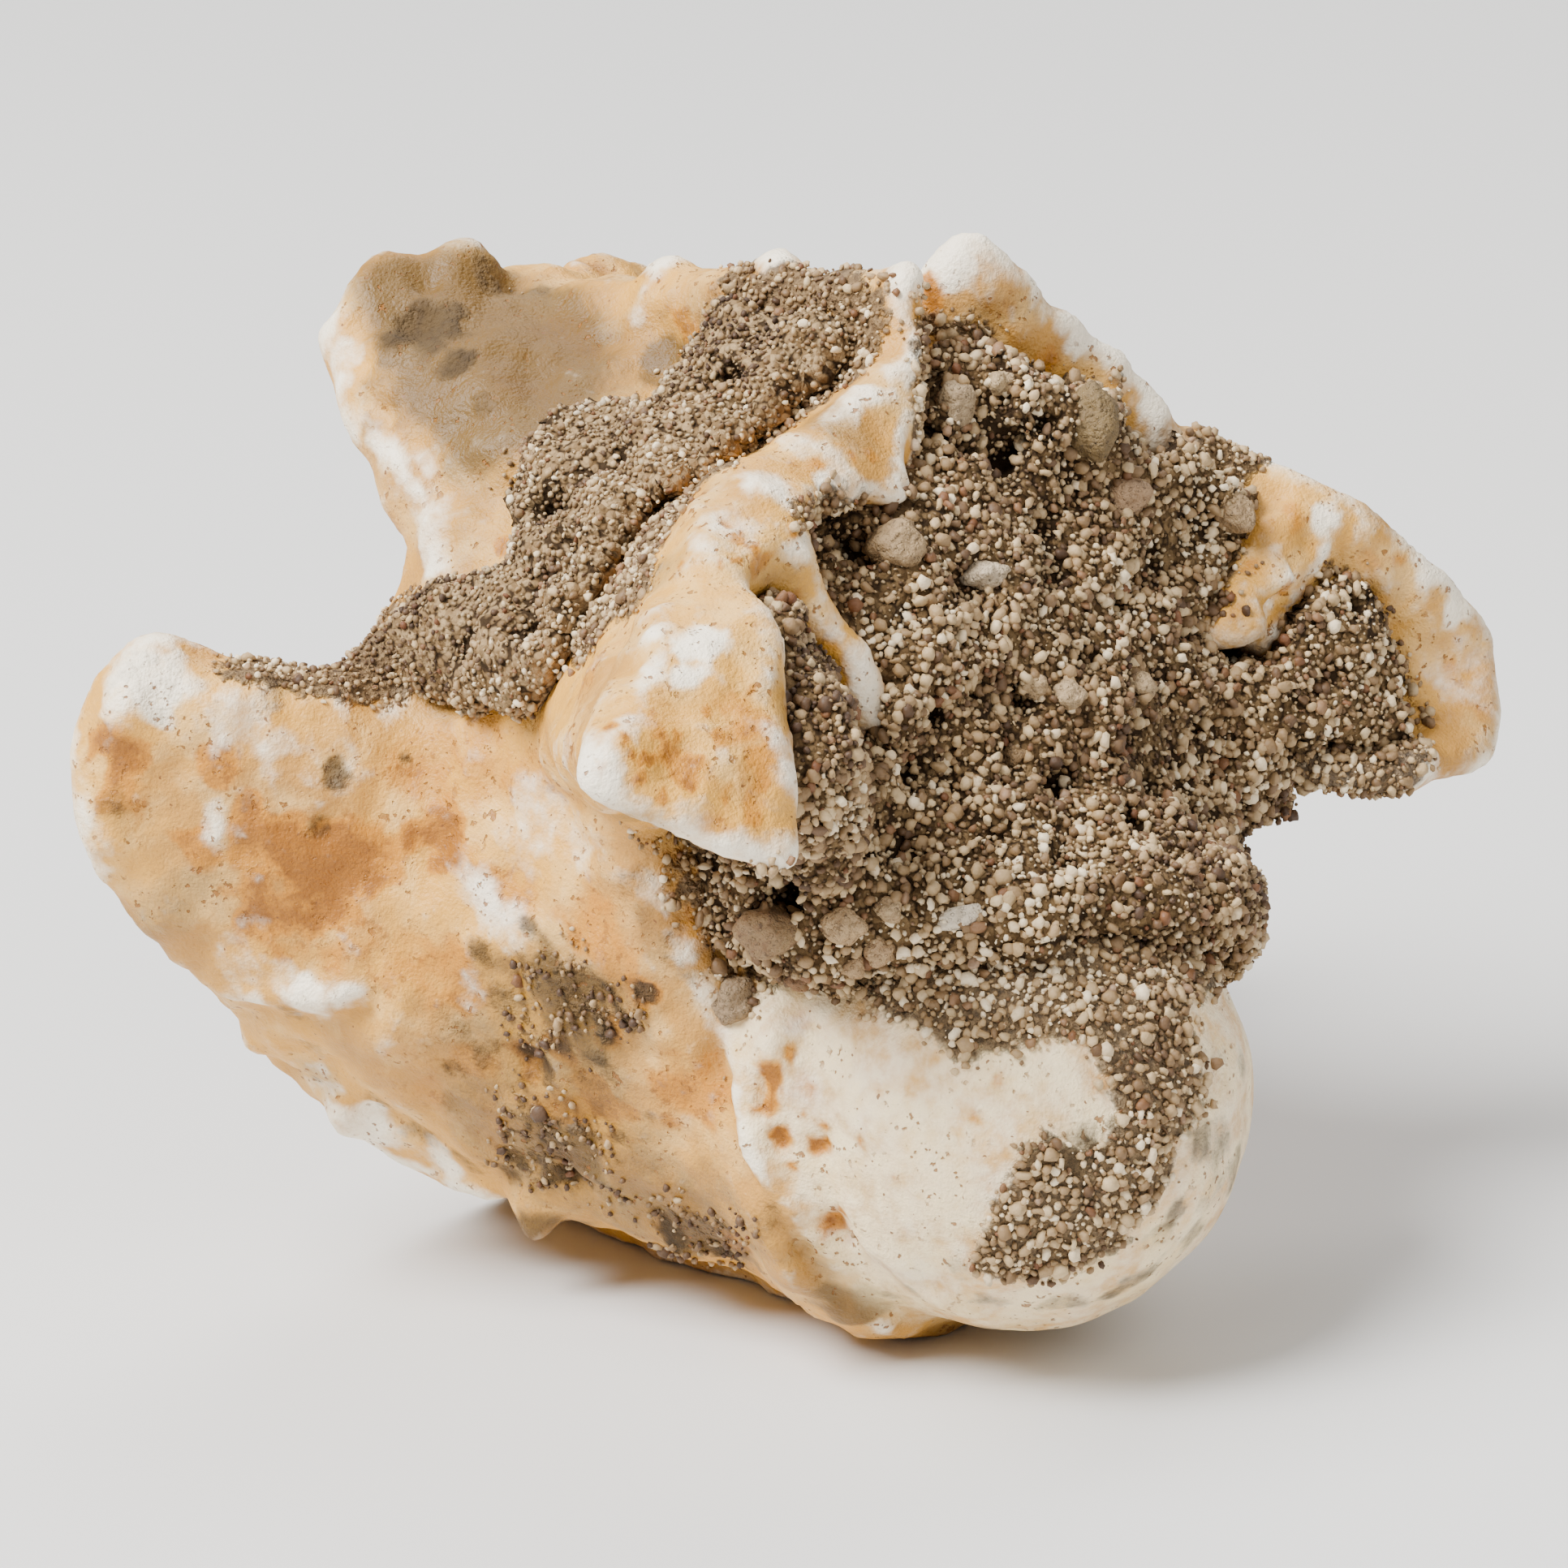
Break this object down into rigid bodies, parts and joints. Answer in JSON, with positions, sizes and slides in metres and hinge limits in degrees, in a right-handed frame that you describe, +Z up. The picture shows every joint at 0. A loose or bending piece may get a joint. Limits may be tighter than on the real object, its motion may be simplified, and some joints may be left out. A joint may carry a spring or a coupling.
{
  "type": "fossil vertebra",
  "caption": "Fossil sea snake vertebra with a ball joint at the rear and a cup in front, its wings and spine broken, and cemented sand packed into its hollows.",
  "frame": {"origin": "on the floor, under the middle of the bone's box as it lies", "axes": "+X to the animal's right, across the wings; +Y to the animal's front, the side with the cup; +Z up. The bone rests rolled about 10 degrees, its left side up, and about 4 degrees down at the front."},
  "size_m": [0.0238, 0.02, 0.0194],
  "materials": {
    "fossil_bone": "matt to satin, cream with ochre stains",
    "cemented_sand": "rough grains, beige to brown",
    "clinging_sand": "rough grains, beige to brown"
  },
  "bodies": {
    "root": {"vertebra": "fossil_bone", "rear_sand_fill": "cemented_sand", "left_side_sand": "clinging_sand"}
  },
  "joints": []
}
